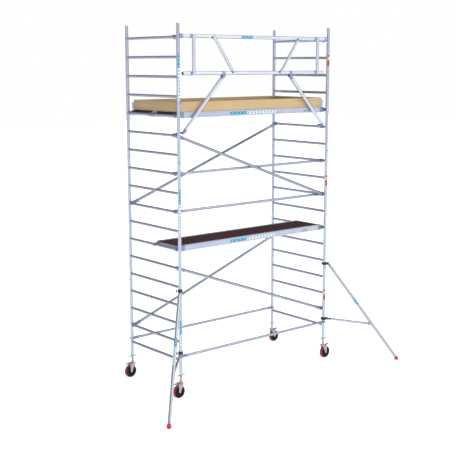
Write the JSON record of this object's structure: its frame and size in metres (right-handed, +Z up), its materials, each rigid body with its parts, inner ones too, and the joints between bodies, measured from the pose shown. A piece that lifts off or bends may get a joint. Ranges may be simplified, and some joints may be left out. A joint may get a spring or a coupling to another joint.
{
  "type": "mobile tower scaffold",
  "caption": "Aluminium mobile tower scaffold with ladder frames, diagonal braces, platforms on two levels, toe boards, a guardrail frame, outriggers and braked casters on levelling legs.",
  "frame": {"origin": "on the floor, midway between the four posts", "axes": "+X along the tower, +Y from the working side with the outriggers to the back, +Z up"},
  "size_m": [4.9132, 2.2566, 5.534],
  "materials": {
    "aluminium_tube": "extruded aluminium tube, satin, with fine drawing lines",
    "aluminium_cast": "cast aluminium claw with a bluish tint, slightly rough",
    "deck_board": "dark brown phenolic plywood with a fine anti-slip print",
    "toe_board": "light varnished plywood with visible grain",
    "clip_plastic": "light blue moulded plastic",
    "clamp_black": "black powder-coated casting",
    "galvanised": "zinc-plated pressed steel, satin",
    "brake_red": "faded red painted steel lever",
    "hub_black": "black moulded plastic",
    "tyre_red": "dark red polyurethane tread",
    "foot_rubber": "red rubber foot",
    "spring_steel": "bright spring steel pin"
  },
  "bodies": {
    "tower": {"base_frame_left": "aluminium_tube", "base_frame_right": "aluminium_tube", "base_rails": "aluminium_tube", "brace_claws": "aluminium_cast", "deck_back": "deck_board", "deck_front": "deck_board", "deck_lower": "deck_board", "diagonal_brace_back_lower": "aluminium_tube", "diagonal_brace_back_upper": "aluminium_tube", "diagonal_brace_front_lower": "aluminium_tube", "diagonal_brace_front_upper": "aluminium_tube", "frame_spigots": "aluminium_tube", "guard_rails": "aluminium_tube", "guardrail_claws": "aluminium_cast", "guardrail_frame": "aluminium_tube", "guardrail_legs": "aluminium_tube", "hatch_hinges": "galvanised", "middle_frame_left": "aluminium_tube", "middle_frame_right": "aluminium_tube", "platform_frame_back": "aluminium_tube", "platform_frame_front": "aluminium_tube", "platform_frame_lower": "aluminium_tube", "platform_hooks": "aluminium_cast", "spring_clips": "spring_steel", "toe_board_clips": "clip_plastic", "toe_boards": "toe_board", "top_frame_left": "aluminium_tube", "top_frame_right": "aluminium_tube", "wind_latches": "galvanised"},
    "hatch": {"hatch": "deck_board"},
    "outrigger_left": {"outrigger_left_clamps": "clamp_black", "outrigger_left_tubes": "aluminium_tube", "outrigger_left_foot": "foot_rubber"},
    "outrigger_right": {"outrigger_right_clamps": "clamp_black", "outrigger_right_tubes": "aluminium_tube", "outrigger_right_foot": "foot_rubber"},
    "nut_front_left": {"leg_nut_front_left": "galvanised"},
    "leg_front_left": {"leg_front_left": "galvanised"},
    "fork_front_left": {"caster_fork_front_left": "galvanised"},
    "wheel_front_left": {"wheel_hub_front_left": "hub_black", "tyre_front_left": "tyre_red"},
    "lever_front_left": {"brake_lever_front_left": "brake_red"},
    "nut_front_right": {"leg_nut_front_right": "galvanised"},
    "leg_front_right": {"leg_front_right": "galvanised"},
    "fork_front_right": {"caster_fork_front_right": "galvanised"},
    "wheel_front_right": {"wheel_hub_front_right": "hub_black", "tyre_front_right": "tyre_red"},
    "lever_front_right": {"brake_lever_front_right": "brake_red"},
    "nut_back_left": {"leg_nut_back_left": "galvanised"},
    "leg_back_left": {"leg_back_left": "galvanised"},
    "fork_back_left": {"caster_fork_back_left": "galvanised"},
    "wheel_back_left": {"wheel_hub_back_left": "hub_black", "tyre_back_left": "tyre_red"},
    "lever_back_left": {"brake_lever_back_left": "brake_red"},
    "nut_back_right": {"leg_nut_back_right": "galvanised"},
    "leg_back_right": {"leg_back_right": "galvanised"},
    "fork_back_right": {"caster_fork_back_right": "galvanised"},
    "wheel_back_right": {"wheel_hub_back_right": "hub_black", "tyre_back_right": "tyre_red"},
    "lever_back_right": {"brake_lever_back_right": "brake_red"}
  },
  "joints": [
    {"name": "hatch_hinge", "type": "hinge", "parent": "tower", "child": "hatch", "pos_m": [-1.05, 0.552, 4.28], "axis": [-1, 0, 0], "range_deg": [0, 90]},
    {"name": "outrigger_swing_left", "type": "hinge", "parent": "tower", "child": "outrigger_left", "pos_m": [-1.525, -0.642, 1.65], "axis": [0, 0, -1], "range_deg": [-45, 45]},
    {"name": "outrigger_swing_right", "type": "hinge", "parent": "tower", "child": "outrigger_right", "pos_m": [1.525, -0.642, 1.65], "axis": [0, 0, 1], "range_deg": [-45, 45]},
    {"name": "leg_nut_turn_front_left", "type": "hinge", "parent": "tower", "child": "nut_front_left", "pos_m": [-1.525, -0.642, 0.349], "axis": [0, 0, 1], "range_deg": [-9000, 2700]},
    {"name": "leg_slide_front_left", "type": "slide", "parent": "tower", "child": "leg_front_left", "axis": [0, 0, 1], "range_m": [-0.2, 0.06]},
    {"name": "caster_swivel_front_left", "type": "hinge", "parent": "leg_front_left", "child": "fork_front_left", "pos_m": [-1.525, -0.642, 0.24], "axis": [0, 0, 1], "continuous": true},
    {"name": "wheel_spin_front_left", "type": "hinge", "parent": "fork_front_left", "child": "wheel_front_left", "pos_m": [-1.567, -0.642, 0.1], "axis": [0, 1, 0], "continuous": true},
    {"name": "brake_pedal_front_left", "type": "hinge", "parent": "fork_front_left", "child": "lever_front_left", "pos_m": [-1.57, -0.642, 0.226], "axis": [0, -1, 0], "range_deg": [0, 12]},
    {"name": "leg_nut_turn_front_right", "type": "hinge", "parent": "tower", "child": "nut_front_right", "pos_m": [1.525, -0.642, 0.349], "axis": [0, 0, 1], "range_deg": [-9000, 2700]},
    {"name": "leg_slide_front_right", "type": "slide", "parent": "tower", "child": "leg_front_right", "axis": [0, 0, 1], "range_m": [-0.2, 0.06]},
    {"name": "caster_swivel_front_right", "type": "hinge", "parent": "leg_front_right", "child": "fork_front_right", "pos_m": [1.525, -0.642, 0.24], "axis": [0, 0, 1], "continuous": true},
    {"name": "wheel_spin_front_right", "type": "hinge", "parent": "fork_front_right", "child": "wheel_front_right", "pos_m": [1.567, -0.642, 0.1], "axis": [0, 1, 0], "continuous": true},
    {"name": "brake_pedal_front_right", "type": "hinge", "parent": "fork_front_right", "child": "lever_front_right", "pos_m": [1.57, -0.642, 0.226], "axis": [0, 1, 0], "range_deg": [0, 12]},
    {"name": "leg_nut_turn_back_left", "type": "hinge", "parent": "tower", "child": "nut_back_left", "pos_m": [-1.525, 0.642, 0.349], "axis": [0, 0, 1], "range_deg": [-9000, 2700]},
    {"name": "leg_slide_back_left", "type": "slide", "parent": "tower", "child": "leg_back_left", "axis": [0, 0, 1], "range_m": [-0.2, 0.06]},
    {"name": "caster_swivel_back_left", "type": "hinge", "parent": "leg_back_left", "child": "fork_back_left", "pos_m": [-1.525, 0.642, 0.24], "axis": [0, 0, 1], "continuous": true},
    {"name": "wheel_spin_back_left", "type": "hinge", "parent": "fork_back_left", "child": "wheel_back_left", "pos_m": [-1.567, 0.642, 0.1], "axis": [0, 1, 0], "continuous": true},
    {"name": "brake_pedal_back_left", "type": "hinge", "parent": "fork_back_left", "child": "lever_back_left", "pos_m": [-1.57, 0.642, 0.226], "axis": [0, -1, 0], "range_deg": [0, 12]},
    {"name": "leg_nut_turn_back_right", "type": "hinge", "parent": "tower", "child": "nut_back_right", "pos_m": [1.525, 0.642, 0.349], "axis": [0, 0, 1], "range_deg": [-9000, 2700]},
    {"name": "leg_slide_back_right", "type": "slide", "parent": "tower", "child": "leg_back_right", "axis": [0, 0, 1], "range_m": [-0.2, 0.06]},
    {"name": "caster_swivel_back_right", "type": "hinge", "parent": "leg_back_right", "child": "fork_back_right", "pos_m": [1.525, 0.642, 0.24], "axis": [0, 0, 1], "continuous": true},
    {"name": "wheel_spin_back_right", "type": "hinge", "parent": "fork_back_right", "child": "wheel_back_right", "pos_m": [1.567, 0.642, 0.1], "axis": [0, 1, 0], "continuous": true},
    {"name": "brake_pedal_back_right", "type": "hinge", "parent": "fork_back_right", "child": "lever_back_right", "pos_m": [1.57, 0.642, 0.226], "axis": [0, 1, 0], "range_deg": [0, 12]}
  ],
  "couplings": [
    {"joint": "leg_nut_turn_front_left", "follows": "leg_slide_front_left", "rad_per_m": 785.4},
    {"joint": "leg_nut_turn_front_right", "follows": "leg_slide_front_right", "rad_per_m": 785.4},
    {"joint": "leg_nut_turn_back_left", "follows": "leg_slide_back_left", "rad_per_m": 785.4},
    {"joint": "leg_nut_turn_back_right", "follows": "leg_slide_back_right", "rad_per_m": 785.4}
  ]
}
